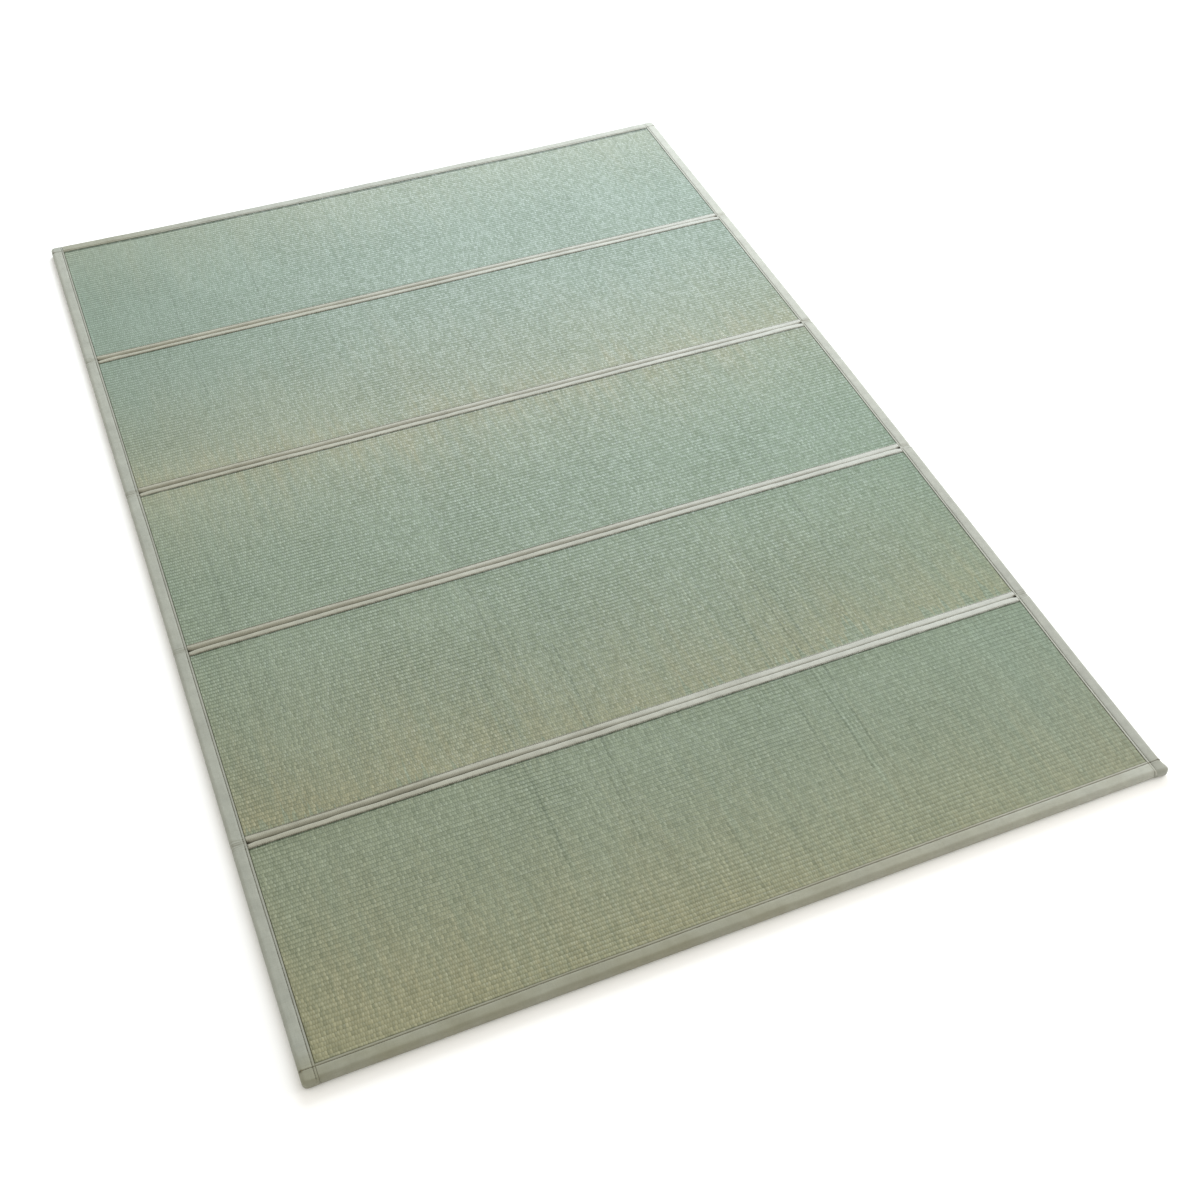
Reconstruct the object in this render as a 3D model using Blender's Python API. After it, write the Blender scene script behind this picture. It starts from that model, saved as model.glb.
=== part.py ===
"""Folding rush mat: five padded panels in a row, taped round the edge and bound along the four folds.

The mat lies open and flat. Lengths are in metres: X runs across its width, Y along its length with the
back edge at +Y, and Z up, from an origin under the middle of the mat.
"""

import math

import bmesh
import bpy
from mathutils import Euler

# Whole mat
WIDTH = 1.400
LENGTH = 2.100
THICKNESS = 0.018
PANEL_COUNT = 5
CORNER_RADIUS = 0.008
EDGE_RADIUS = 0.006

# Cloth strips
CLOTH = 0.001
TAPE_WIDTH = 0.024
BINDING_WIDTH = 0.0125
GAP = 0.0003
WELD = 0.000003

# Woven rush
RIB_PITCH = 0.0075
RIB_HEIGHT = 0.0006
RIB_STEPS = 4
TAPE_ABOVE_RUSH = 0.0004

# Facets
ARC_STEPS = 5
CORNER_STEPS = 6

PANEL_LENGTH = LENGTH / PANEL_COUNT
CORE_INSET = CLOTH + GAP
RIB_CREST = THICKNESS - TAPE_ABOVE_RUSH
INSIDE_X = WIDTH / 2 - TAPE_WIDTH - GAP
INSIDE_Y = LENGTH / 2 - TAPE_WIDTH - GAP
CUTTER_REACH = 0.050

UPRIGHT_ALONG_X = Euler((math.pi / 2, 0, math.pi / 2))

RUSH = ("rush", (0.42, 0.46, 0.36), 0.6)
TAPE = ("edge tape", (0.55, 0.57, 0.50), 0.7)
BINDING = ("fold binding", (0.60, 0.57, 0.47), 0.7)


def clear_scene():
    for thing in list(bpy.data.objects):
        bpy.data.objects.remove(thing, do_unlink=True)


def collection(name):
    group = bpy.data.collections.new(name)
    bpy.context.scene.collection.children.link(group)
    return group


def material(finish):
    name, colour, roughness = finish
    made = bpy.data.materials.get(name) or bpy.data.materials.new(name)
    made.use_nodes = True
    shader = made.node_tree.nodes["Principled BSDF"]
    shader.inputs["Base Color"].default_value = (*colour, 1)
    shader.inputs["Roughness"].default_value = roughness
    shader.inputs["Metallic"].default_value = 0
    return made


def add_part(name, mesh, finish, group):
    mesh.materials.clear()
    mesh.materials.append(material(finish))
    part = bpy.data.objects.new(name, mesh)
    group.objects.link(part)
    return part


def add_cutter(name, mesh, group):
    cutter = bpy.data.objects.new(name, mesh)
    cutter.hide_render = True
    cutter.display_type = "WIRE"
    group.objects.link(cutter)
    return cutter


def combine(target, cutter, operation):
    cut = target.modifiers.new(f"{operation.lower()} {cutter.name}", "BOOLEAN")
    cut.operation = operation
    cut.solver = "EXACT"
    cut.object = cutter


def box_mesh(name, low, high):
    mesh = bpy.data.meshes.new(name)
    box = bmesh.new()
    bmesh.ops.create_cube(box, size=1)
    for vertex in box.verts:
        for axis in range(3):
            vertex.co[axis] = low[axis] if vertex.co[axis] < 0 else high[axis]
    box.to_mesh(mesh)
    box.free()
    return mesh


def rounded_slab_mesh(name, inset):
    """The outside of the mat, drawn in by an inset: a slab with round corners and round edges."""
    mesh = box_mesh(
        name,
        (inset - WIDTH / 2, inset - LENGTH / 2, inset),
        (WIDTH / 2 - inset, LENGTH / 2 - inset, THICKNESS - inset),
    )
    slab = bmesh.new()
    slab.from_mesh(mesh)
    corners = [edge for edge in slab.edges if not any(face.normal.z for face in edge.link_faces)]
    bmesh.ops.bevel(
        slab, geom=corners, offset=CORNER_RADIUS - inset, segments=CORNER_STEPS, profile=0.5,
        affect="EDGES",
    )
    slab.normal_update()
    rims = [edge for edge in slab.edges if sum(face.normal.z != 0 for face in edge.link_faces) == 1]
    bmesh.ops.bevel(
        slab, geom=rims, offset=EDGE_RADIUS - inset, segments=ARC_STEPS, profile=0.5, affect="EDGES",
    )
    slab.to_mesh(mesh)
    slab.free()
    return mesh


def prism_mesh(name, outline, half_width):
    """An outline of (y, z) points, drawn out along X to both sides of the middle."""
    curve = bpy.data.curves.new(name, "CURVE")
    curve.dimensions = "2D"
    curve.fill_mode = "BOTH"
    curve.extrude = half_width
    spline = curve.splines.new("POLY")
    spline.points.add(len(outline) - 1)
    for point, (y, z) in zip(spline.points, outline):
        point.co = (y, z, 0, 1)
    spline.use_cyclic_u = True
    drawn = bpy.data.objects.new(name, curve)
    drawn.rotation_euler = UPRIGHT_ALONG_X
    bpy.context.scene.collection.objects.link(drawn)
    bpy.context.view_layer.update()
    mesh = bpy.data.meshes.new_from_object(drawn.evaluated_get(bpy.context.evaluated_depsgraph_get()))
    mesh.name = name
    mesh.transform(drawn.matrix_world)
    bpy.data.objects.remove(drawn, do_unlink=True)
    welded = bmesh.new()
    welded.from_mesh(mesh)
    bmesh.ops.remove_doubles(welded, verts=welded.verts, dist=WELD)
    bmesh.ops.recalc_face_normals(welded, faces=welded.faces)
    welded.to_mesh(mesh)
    welded.free()
    return mesh


def nose(edge, inward, inset, reach):
    """A rounded edge seen from the side, from its foot on the underside round to its top.

    The edge stands at y = edge, and the piece lies on the side that inward, 1 or -1, points to. The
    outline is drawn in by the inset and runs inward as far as reach from the edge, below and above.
    """
    radius = EDGE_RADIUS - inset
    low, high = inset, THICKNESS - inset
    points = [(edge + inward * reach, low)]
    for centre, start in ((low + radius, -math.pi / 2), (high - radius, 0)):
        for step in range(ARC_STEPS + 1):
            angle = start + step * math.pi / 2 / ARC_STEPS
            across = inset + radius - radius * math.cos(angle)
            points.append((edge + inward * across, centre + radius * math.sin(angle)))
    points.append((edge + inward * reach, high))
    return points


def rib_points(start, end):
    """The top of the rush from a low y to a high y: round ribs with narrow grooves between."""
    ribs = round((end - start) / RIB_PITCH)
    steps = ribs * RIB_STEPS
    points = []
    for step in range(steps + 1):
        lift = abs(math.sin(math.pi * step / RIB_STEPS))
        points.append((start + (end - start) * step / steps, RIB_CREST - RIB_HEIGHT * (1 - lift)))
    return points


def fold_y(fold):
    return LENGTH / 2 - fold * PANEL_LENGTH


def panel_outline(number):
    """One panel from the side. A fold edge is seated for its binding, and a mat edge is left square."""
    seat = BINDING_WIDTH + GAP
    if number == 1:
        rush_end = LENGTH / 2 + CUTTER_REACH
        back_side = [(rush_end, 0)]
    else:
        back_edge = fold_y(number - 1) - GAP / 2
        rush_end = back_edge - seat
        back_side = [(rush_end, 0)] + nose(back_edge, -1, CORE_INSET, seat)
    if number == PANEL_COUNT:
        rush_start = -LENGTH / 2 - CUTTER_REACH
        front_side = [(rush_start, 0)]
    else:
        front_edge = fold_y(number) + GAP / 2
        rush_start = front_edge + seat
        front_side = nose(front_edge, 1, CORE_INSET, seat)[::-1] + [(rush_start, 0)]
    return back_side + rib_points(rush_start, rush_end)[::-1] + front_side


def binding_outline(edge, inward):
    """A strip folded over a panel edge, from the side."""
    outside = nose(edge, inward, 0, BINDING_WIDTH)
    inside = nose(edge, inward, CLOTH, BINDING_WIDTH)
    return outside + inside[::-1]


def add_panels(parts, cutters):
    room = add_cutter("panel_room", rounded_slab_mesh("panel_room", CORE_INSET), cutters)
    middle = add_cutter(
        "panel_middle",
        box_mesh(
            "panel_middle",
            (-INSIDE_X, -INSIDE_Y, -CUTTER_REACH),
            (INSIDE_X, INSIDE_Y, THICKNESS + CUTTER_REACH),
        ),
        cutters,
    )
    combine(room, middle, "UNION")
    for number in range(1, PANEL_COUNT + 1):
        name = f"panel_{number}"
        mesh = prism_mesh(name, panel_outline(number), WIDTH / 2 + CUTTER_REACH)
        panel = add_part(name, mesh, RUSH, parts)
        combine(panel, room, "INTERSECT")


def add_tapes(parts, cutters):
    filling = add_cutter("tape_filling", rounded_slab_mesh("tape_filling", CLOTH), cutters)
    far_x, far_y = WIDTH / 2 + CUTTER_REACH, LENGTH / 2 + CUTTER_REACH
    inner_x, inner_y = WIDTH / 2 - TAPE_WIDTH, LENGTH / 2 - TAPE_WIDTH
    stretches = {
        "side_tape_left": ((-far_x, -far_y), (-inner_x, far_y)),
        "side_tape_right": ((inner_x, -far_y), (far_x, far_y)),
        "end_tape_back": ((-INSIDE_X, inner_y), (INSIDE_X, far_y)),
        "end_tape_front": ((-INSIDE_X, -far_y), (INSIDE_X, -inner_y)),
    }
    for name, (low, high) in stretches.items():
        stretch = add_cutter(
            f"{name}_stretch",
            box_mesh(f"{name}_stretch", (*low, -CUTTER_REACH), (*high, THICKNESS + CUTTER_REACH)),
            cutters,
        )
        tape = add_part(name, rounded_slab_mesh(name, 0), TAPE, parts)
        combine(tape, filling, "DIFFERENCE")
        combine(tape, stretch, "INTERSECT")


def add_bindings(parts):
    for fold in range(1, PANEL_COUNT):
        for side, inward in (("back", 1), ("front", -1)):
            name = f"fold_{fold}_binding_{side}"
            outline = binding_outline(fold_y(fold) + inward * GAP / 2, inward)
            add_part(name, prism_mesh(name, outline, INSIDE_X), BINDING, parts)


def main():
    clear_scene()
    parts = collection("folding_rush_mat")
    cutters = collection("cutters")
    add_panels(parts, cutters)
    add_tapes(parts, cutters)
    add_bindings(parts)


main()
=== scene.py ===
"""Looks of a folding rush mat: its woven panels, edge tapes, fold bindings and sewing.

Everything is in metres, in the frame of the solids: X across the mat, Y along it with the back edge at
+Y, and Z up from the surface that the mat lies on.
"""

import math

import bmesh
import bpy
import numpy as np
from mathutils import Matrix, Vector


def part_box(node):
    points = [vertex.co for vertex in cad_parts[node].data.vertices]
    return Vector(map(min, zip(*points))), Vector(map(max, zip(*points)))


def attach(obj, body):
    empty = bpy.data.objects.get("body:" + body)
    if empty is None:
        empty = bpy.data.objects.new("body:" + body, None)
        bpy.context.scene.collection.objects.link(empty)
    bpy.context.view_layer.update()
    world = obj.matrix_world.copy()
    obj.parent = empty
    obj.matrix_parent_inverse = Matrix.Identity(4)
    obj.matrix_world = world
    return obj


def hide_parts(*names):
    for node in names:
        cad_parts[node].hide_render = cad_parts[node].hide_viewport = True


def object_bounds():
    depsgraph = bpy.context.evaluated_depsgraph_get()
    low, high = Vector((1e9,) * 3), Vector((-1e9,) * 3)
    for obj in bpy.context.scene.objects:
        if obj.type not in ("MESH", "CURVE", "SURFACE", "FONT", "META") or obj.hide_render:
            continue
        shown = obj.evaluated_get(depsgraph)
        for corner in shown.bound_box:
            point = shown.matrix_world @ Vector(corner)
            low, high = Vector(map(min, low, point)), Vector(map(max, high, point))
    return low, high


bl_info = {
    "name": "Folding rush mat",
    "version": (1, 0, 0),
    "blender": (4, 5, 0),
    "location": "3D View > Sidebar > Rush mat",
    "description": "Woven rush panels, edge tapes, fold bindings and sewing of a folding mat",
    "category": "Object",
}

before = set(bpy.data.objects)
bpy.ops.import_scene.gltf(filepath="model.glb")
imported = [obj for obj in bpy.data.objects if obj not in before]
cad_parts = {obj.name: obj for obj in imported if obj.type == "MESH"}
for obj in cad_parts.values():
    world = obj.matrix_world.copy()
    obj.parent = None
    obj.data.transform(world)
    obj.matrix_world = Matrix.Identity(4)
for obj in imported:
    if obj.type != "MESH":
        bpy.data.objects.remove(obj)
CAD_LOW, CAD_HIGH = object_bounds()

# The mat as its solids give it
WIDTH = CAD_HIGH.x - CAD_LOW.x
LENGTH = CAD_HIGH.y - CAD_LOW.y
THICKNESS = CAD_HIGH.z - CAD_LOW.z
PANEL_COUNT = 5
PANEL_LENGTH = LENGTH / PANEL_COUNT
FOLDS = [LENGTH / 2 - number * PANEL_LENGTH for number in range(1, PANEL_COUNT)]
TAPE_WIDTH = CAD_HIGH.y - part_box("end_tape_back")[0].y
BINDING_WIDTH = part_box("fold_1_binding_back")[1].y - FOLDS[0]
INSIDE_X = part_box("end_tape_back")[1].x

MM = 0.001

# Rounding and cloth
CORNER_RADIUS = 0.008
EDGE_RADIUS = 0.006
CLOTH = 0.001
GAP = 0.0003
MIDDLE = THICKNESS / 2

# The panels' cores, under the cloth. A seat is how far in from a panel's edge its rush starts.
SEAT_HEIGHT = THICKNESS - 0.0016
SEAT_LOW = 0.0014
CORE_RADIUS = 0.0045
FOLD_SEAT = BINDING_WIDTH + 2 * GAP
EDGE_SEAT = TAPE_WIDTH + 2 * GAP
FOLD_CLEARANCE = 0.0032
EDGE_CLEARANCE = 0.0022
RUSH_X = INSIDE_X - 2 * GAP
CORE_X = WIDTH / 2 - EDGE_CLEARANCE

# Distances in from the mat's edge, in millimetres, at which a tape's top has its mesh points
TAPE_MARKS = (8, 10.5, 13, 15.5, 17.3, 18.5, 19.2, 19.8, 20.3, 20.8, 21.4, 22.2, 23.1, 23.7, 24.0)

# The mesh's finer steps along a tape, and how far they reach round a crease or a crossing
CREASE_REACH = 0.013
CREASE_STEP = 0.0009
CROSSING_REACH = 0.004
CROSSING_STEP = 0.0006

# The knots where the sewing of two tapes crosses
KNOT_INWARD = 0.003
KNOT_LENGTH = 0.0028
KNOT_SWELL = 5

# Where along X each fold is half shut, from the back fold to the front one
FOLD_SHUTS = (0.55, 0.45, 0.4, -0.15)

# A Mix node's sockets for colours, whose names its other sockets share
MIX_COLOURS = (6, 7)
MIX_RESULT = 2

# Where the camera stands, and its pan, tilt and roll in degrees
CAMERA_PLACE = (-0.699, -2.207, 2.08)
CAMERA_TURN = (23.76, -46.0, 0.92)
CAMERA_SHIFT = (-0.0476, -0.0077)


def smooth(value, low, high):
    """0 below low, 1 above high, and an even S between. The two may also stand in falling order."""
    share = np.clip((value - low) / (high - low), 0, 1)
    return share * share * (3 - 2 * share)


def bump(value, centre, width):
    """A soft hill of height 1 round the centre."""
    return np.exp(-(((value - centre) / width) ** 2))


def ripple(along, pitch, seed, octaves=3):
    """An uneven wave along a line, mostly between -1 and 1. Its longest swings are about a pitch long."""
    random = np.random.default_rng(seed)
    total = np.zeros(np.shape(along))
    weight = 0
    for octave in range(octaves):
        for _ in range(2):
            swing = pitch / 2**octave * random.uniform(0.75, 1.35)
            total = total + 0.5**octave * np.sin(2 * math.pi * along / swing + random.uniform(0, 7))
        weight += 2 * 0.5**octave
    return 1.5 * total / weight


def rib_wobble(x, sine=np.sin):
    """How far a rib of the weave strays along Y at x."""
    return 0.35 * MM * sine(9 * x + 1.3) + 0.2 * MM * sine(31 * x)


def fold_lift(x, fold, side):
    """How far a panel's edge stands up at a fold. The edge in front of the fold rides up on the other."""
    rise = 0.9 if side < 0 else 0.1
    return MM * (rise + 0.55 * ripple(x, 0.7, 40 + 2 * fold + side, 2))


def settle(points):
    """Moves points as the whole mat settles: edges bow, folds wander, and the face swells a little."""
    x, y, z = np.moveaxis(points, -1, 0)
    height = np.clip(z / THICKNESS, 0, 1.2)
    share = x / (WIDTH / 2)
    right = 8.0 * smooth(y, -0.95, 0.25) - 4.7
    left = 0.9 * np.sin(3.1 * y + 0.6) + 1.9 * smooth(y, 0.6, -0.3)
    moved_x = x + MM * np.where(x > 0, right, left) * share**2
    stray = 0.8 * ripple(x + 0.3 * y, 1.1, 5, 2) - 2.8 + 1.2 * y
    drawn_out = np.where(x > 0, 3.5, 6.0) * smooth(np.abs(x), 0.4, 0.7) * smooth(y, 0.75, 1.05)
    moved_y = y + MM * (stray * smooth(np.abs(y), LENGTH / 2, LENGTH / 2 - 0.2) + drawn_out)
    to_corner = WIDTH / 2 + LENGTH / 2 - (x - y)
    corner = 3.5 * MM * smooth(to_corner, 22 * MM, 4.5 * MM)
    moved_x = moved_x + corner
    moved_y = moved_y - 0.6 * corner
    swell = 0.35 * MM * ripple(x, 0.55, 8, 2) * ripple(y, 0.4, 9, 2)
    lift = np.zeros(x.shape)
    inside = smooth(np.abs(x), INSIDE_X, INSIDE_X - 0.035)
    for number, fold in enumerate(FOLDS, 1):
        for side in (-1, 1):
            distance = (y - fold) * side
            near = (distance > 0) * (1 - smooth(distance, 0.004, 0.055))
            lift = lift + near * fold_lift(x, number, side) * inside
    return np.stack((moved_x, moved_y, z + (swell + lift) * height), axis=-1)


def grid_numbers(first, rows, columns):
    return first + np.arange(rows * columns).reshape(rows, columns)


def quads_of(numbers):
    """The four-sided faces over a grid of point numbers."""
    corners = (numbers[:-1, :-1], numbers[1:, :-1], numbers[1:, 1:], numbers[:-1, 1:])
    return np.stack(corners, axis=-1).reshape(-1, 4)


def make_piece(name, points, faces, finish, replaced=(), soil=None):
    """A closed mesh as a piece of the mat, smooth, with its faces turned outwards.

    Painted shade says how dark each point is painted, from 0 to 1: shade in the cloth's dips, creases and
    seams, and along edges where parts meet.
    """
    mesh = bpy.data.meshes.new(name)
    mesh.from_pydata(points.reshape(-1, 3).tolist(), [], faces)
    # Painted shade, kept on the mesh's points for the finishes to read
    if soil is not None:
        shade_layer = mesh.attributes.new("soil", "FLOAT", "POINT")
        shade_layer.data.foreach_set("value", np.clip(soil, 0, 1).ravel())
    work = bmesh.new()
    work.from_mesh(mesh)
    bmesh.ops.remove_doubles(work, verts=work.verts, dist=0.00002)
    bmesh.ops.recalc_face_normals(work, faces=work.faces)
    for face in work.faces:
        face.smooth = True
    work.to_mesh(mesh)
    work.free()
    mesh.materials.append(finish)
    piece = bpy.data.objects.new(name, mesh)
    bpy.context.scene.collection.objects.link(piece)
    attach(piece, "root")
    if replaced:
        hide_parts(*replaced)
    return piece


def turned(points, quarter_turns):
    """Points turned about Z by quarter turns."""
    x, y, z = np.moveaxis(points, -1, 0)
    for _ in range(quarter_turns % 4):
        x, y = -y, x
    return np.stack((x, y, z), axis=-1)


def surface_normals(grid):
    """The outward normal at each point of a grid of stations, each a profile from underside to top."""
    along = np.gradient(grid, axis=0)
    across = np.gradient(grid, axis=1)
    normal = np.cross(across, along)
    size = np.linalg.norm(normal, axis=-1, keepdims=True)
    return normal / np.maximum(size, 1e-12)


def cloth_faces(stations, outer_count, inner_count, closed_ends):
    """Faces of a folded strip: its two sides, its two long edges, and its ends, cut or closed."""
    outer = grid_numbers(0, stations, outer_count)
    inner = grid_numbers(stations * outer_count, stations, inner_count)
    faces = quads_of(outer).tolist() + quads_of(inner).tolist()
    for edge in (0, -1):
        faces += quads_of(np.stack((outer[:, edge], inner[:, edge]), axis=1)).tolist()
    for end in (0, -1):
        if closed_ends:
            rim = (outer[end, 0], outer[end, -1], inner[end, -1], inner[end, 0])
            faces += [outer[end].tolist(), inner[end].tolist(), [int(number) for number in rim]]
        else:
            faces.append(outer[end].tolist() + inner[end][::-1].tolist())
    return faces


def steps_round(place, reach, step):
    """Even steps along a strip, on both sides of a place."""
    return np.arange(place - reach, place + reach, step)


def thinned(places, least):
    """Sorted places, without those that come too close behind another."""
    kept = []
    for place in np.sort(np.concatenate(places)):
        if not kept or place - kept[-1] > least:
            kept.append(place)
    return np.array(kept)


def profile_samples(flat_low, arc_low, side, arc_top, flat_top):
    """Samples (part, share) round a strip, from its free edge below, round the outside, to its top one."""
    parts = {
        "low": np.linspace(1, 0, flat_low),
        "low arc": np.linspace(0, 1, arc_low)[1:],
        "side": np.linspace(0, 1, side + 2)[1:-1],
        "top arc": np.linspace(1, 0, arc_top),
        "top": flat_top,
    }
    return [(part, share) for part, shares in parts.items() for share in shares]


def strip_face(along, inset, round_top, width, samples, start, outline):
    """One face of a strip folded over an edge: a grid of places along the edge by samples round it.

    The strip's own frame has X along its edge, Y out of the mat with the edge at 0, and Z up. Its arcs
    begin at the angle start, and the outline gives Y at a depth behind the strip's outermost line.
    """
    low, high = inset, THICKNESS - inset
    grid = np.zeros((len(along), len(samples), 3))
    grid[..., 0] = along[:, None]
    for column, (part, share) in enumerate(samples):
        upper = "top" in part
        radius = (round_top if upper else EDGE_RADIUS) - inset
        if part == "side":
            out = outline(0)
            z = EDGE_RADIUS + share * (THICKNESS - round_top - EDGE_RADIUS)
        else:
            angle = start + share * (math.pi / 2 - start) if "arc" in part else start
            out = outline(radius * (1 - np.sin(angle)))
            rise = radius * (1 - np.cos(angle))
            z = high - rise if upper else low + rise
            if "arc" not in part:
                out = out + share * (-width - out)
        grid[:, column, 1] = out
        grid[:, column, 2] = z
    return grid


def tape_face(stations, half_length, inset, samples, closed_ends):
    """One face of an edge tape. Closed ends turn down round the mat's corners. Others are cut straight."""
    corner = CORNER_RADIUS - inset
    rounding = EDGE_RADIUS - inset
    reach = half_length - inset if closed_ends else half_length
    along = np.clip(stations, -reach, reach)
    size = np.abs(along)
    start = closed_ends * np.arcsin(np.clip((size - (reach - rounding)) / rounding, 0, 1))
    past_corner = closed_ends * np.maximum(size - (reach - corner), 0)

    def outline(depth):
        return np.sqrt(np.maximum((corner - depth) ** 2 - past_corner**2, 0)) - inset - corner

    return strip_face(along, inset, EDGE_RADIUS, TAPE_WIDTH, samples, start, outline)


def folded_strip(name, outer, inner, soil, edge, turn, closed_ends, finish, node):
    """A strip of cloth from its two faces, set with its outside at a distance and turned into place."""
    points = np.concatenate((outer.reshape(-1, 3), inner.reshape(-1, 3)))
    points[:, 1] += edge
    faces = cloth_faces(len(outer), outer.shape[1], inner.shape[1], closed_ends)
    soil = np.concatenate((soil.ravel(), np.zeros(inner.size // 3)))
    return make_piece(name, settle(turned(points, turn)), faces, finish, (node,), soil)


def tape_seam(along, settings, seed):
    """How far in from the mat's edge a tape is sewn."""
    return settings.seam + 0.35 * MM * ripple(along, 0.4, seed, 2)


def tape_relief(grid, settings, seed, crease_places, crossing_places):
    """How far each point of a tape's outer face stands out, and its painted shade.

    The face has a sewn groove with a lip beside it, puckers, and creases where the mat folds.
    """
    along, inward, z = grid[..., 0], -grid[..., 1], grid[..., 2]
    top = smooth(z, MIDDLE, THICKNESS - 2 * MM)
    seam = tape_seam(along, settings, seed)
    groove = bump(inward, seam, 0.6 * MM)
    past_crossing = np.zeros(along.shape)
    for place in crossing_places:
        past_crossing += smooth(np.abs(along), abs(place), abs(place) + 2 * MM) / 2
    groove = groove * (1 - 0.5 * past_crossing)
    lip = smooth(inward, seam + 0.3 * MM, seam + 1.2 * MM) * (0.8 + 0.35 * ripple(along, 0.05, seed + 1))
    body = smooth(inward, 0, 6 * MM) * smooth(inward, seam, seam - 4 * MM)
    pucker = ripple(along, 0.011, seed + 2, 2) * smooth(inward, 3 * MM, seam - 2 * MM)
    relief = top * (-0.85 * groove + 0.25 * lip + 0.45 * body + 0.2 * pucker) * MM
    relief += top * 0.35 * MM * ripple(along, 0.09, seed + 3) * body
    # Painted shade in the sewn groove, and a painted shadow along the tape's inner edge where it meets the
    # rush
    soil = top * groove * (0.8 + 0.3 * ripple(along, 0.03, seed + 4))
    soil += top * 0.8 * smooth(inward, TAPE_WIDTH - 1 * MM, TAPE_WIDTH)
    for number, (place, depth) in enumerate(crease_places):
        random = np.random.default_rng(seed + 10 + number)
        for offset in (-7.5, -3.2, 0.4, 4.1, 8.3):
            slant = random.uniform(-0.12, 0.12)
            centre = place + (offset + random.uniform(-0.8, 0.8)) * MM + slant * (inward - 0.012)
            width = random.uniform(0.9, 1.5) * MM
            strength = depth * random.uniform(0.45, 1.0) * (1.3 if offset == 0.4 else 0.75)
            fade = 1 - random.uniform(0.2, 0.7) * smooth(inward, 6 * MM, 22 * MM)
            crease = top * strength * bump(along, centre, width) * fade
            relief -= crease * MM
            relief += top * 0.5 * strength * MM * bump(along, centre + 2 * width, width) * fade
            # Painted shade in each crease
            soil += 0.55 * crease
        # Painted shade over the dip where the tape crosses the fold
        soil += 0.12 * bump(along, place, 9 * MM) * (1 + 0.5 * ripple(along + inward, 0.02, seed + 5))
        relief -= 0.8 * MM * bump(along, place, 4.5 * MM)
    for place in crossing_places:
        dip = top * bump(along, place, 0.7 * MM) * smooth(inward, 1.5 * MM, 3.5 * MM)
        relief -= 0.5 * MM * dip
        beside = bump(np.abs(along - place), 2 * MM, 1.2 * MM) * smooth(inward, 1 * MM, 5 * MM)
        relief += top * 0.2 * MM * beside
        # Painted shade in the dip of the crossing seam. The dark spot round the knot stands in for the
        # knot's own dark thread.
        soil += 0.8 * dip + 1.8 * bump(along, place, 1.9 * MM) * bump(inward, 3.4 * MM, 2.2 * MM)
    if crossing_places:
        return relief * smooth(np.abs(grid[:, :1, 0]).max() - np.abs(along), -0.001, 0.004), soil
    return relief, soil


def stitch_points(places, heights, settings, length):
    """Sewn stitches along X at places (x, y), each a slim tapered bar that dips at its ends."""
    thick = settings.thickness / 2
    along = np.array([-1.0, -0.72, 0.0, 0.72, 1.0]) * length / 2
    swell = np.array([0.35, 0.85, 1.0, 0.85, 0.35]) * thick
    dip = np.array([-0.9, -0.25, 0.1, -0.25, -0.9]) * thick
    around = np.radians([45, 135, 225, 315])
    bar = np.zeros((5, 4, 3))
    bar[..., 0] = along[:, None]
    bar[..., 1] = swell[:, None] * np.cos(around) * 1.3
    bar[..., 2] = swell[:, None] * np.sin(around) + dip[:, None]
    centres = np.column_stack((places, heights))
    return centres[:, None, None, :] + bar


def stitch_faces(count):
    numbers = grid_numbers(0, 5, 4)
    ring = np.concatenate((numbers, numbers[:, :1]), axis=1)
    one = quads_of(ring)
    ends = np.stack((numbers[0], numbers[-1]))
    one = np.concatenate((one, ends))
    return (one + numbers.size * np.arange(count)[:, None, None]).reshape(-1, 4).tolist()


def top_height(stations, done, along, inward):
    """The height of a strip's finished face at places along it and inward from its edge."""
    row = np.clip(np.searchsorted(stations, along), 1, len(stations) - 1)
    heights = []
    for index, place in zip(row, inward):
        section = done[index]
        upper = section[section[:, 2] > MIDDLE]
        order = np.argsort(-upper[:, 1])
        heights.append(np.interp(place, -upper[order, 1], upper[order, 2]))
    return np.array(heights)


def seam_stitches(half, seam_of, outer, done, raised, settings, sewing, seed):
    """The stitches along a strip's seam, each resting on its finished face."""
    along = np.arange(-half, half, sewing.stitch + sewing.gap)
    seam = seam_of(along, settings, seed)
    height = top_height(outer[:, 0, 0], done, along, seam) + raised
    return stitch_points(np.column_stack((along, -seam)), height, sewing, sewing.stitch)


def sewn_line(name, bars, edge, turn, thread):
    """Stitches as one piece, set and turned as their strip is."""
    points = bars.reshape(-1, 3)
    points[:, 1] += edge
    return make_piece(name, settle(turned(points, turn)), stitch_faces(len(bars)), thread)


class Value:
    """A shader value. Python's operators on it add the Math nodes."""

    def __init__(self, finish, socket):
        self.finish = finish
        self.socket = socket

    def math(self, operation, *others):
        sockets = dict(enumerate((self, *others)))
        return self.finish.node("ShaderNodeMath", {"operation": operation}, sockets)

    def __add__(self, other):
        return self.math("ADD", other)

    __radd__ = __add__

    def __sub__(self, other):
        return self.math("SUBTRACT", other)

    def __rsub__(self, other):
        return self.finish.node("ShaderNodeMath", {"operation": "SUBTRACT"}, {0: other, 1: self})

    def __mul__(self, other):
        return self.math("MULTIPLY", other)

    __rmul__ = __mul__

    def __truediv__(self, other):
        return self.math("DIVIDE", other)

    def __mod__(self, other):
        return self.math("FLOORED_MODULO", other)

    def floor(self):
        return self.math("FLOOR")

    def fraction(self):
        return self.math("FRACT")

    def size(self):
        return self.math("ABSOLUTE")

    def sine(self):
        return self.math("SINE")

    def most(self, other):
        return self.math("MAXIMUM", other)

    def least(self, other):
        return self.math("MINIMUM", other)

    def smooth(self, low, high, start=0.0, end=1.0):
        return self.finish.node(
            "ShaderNodeMapRange",
            {"interpolation_type": "SMOOTHSTEP"},
            {"Value": self, "From Min": low, "From Max": high, "To Min": start, "To Max": end},
        )


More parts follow.
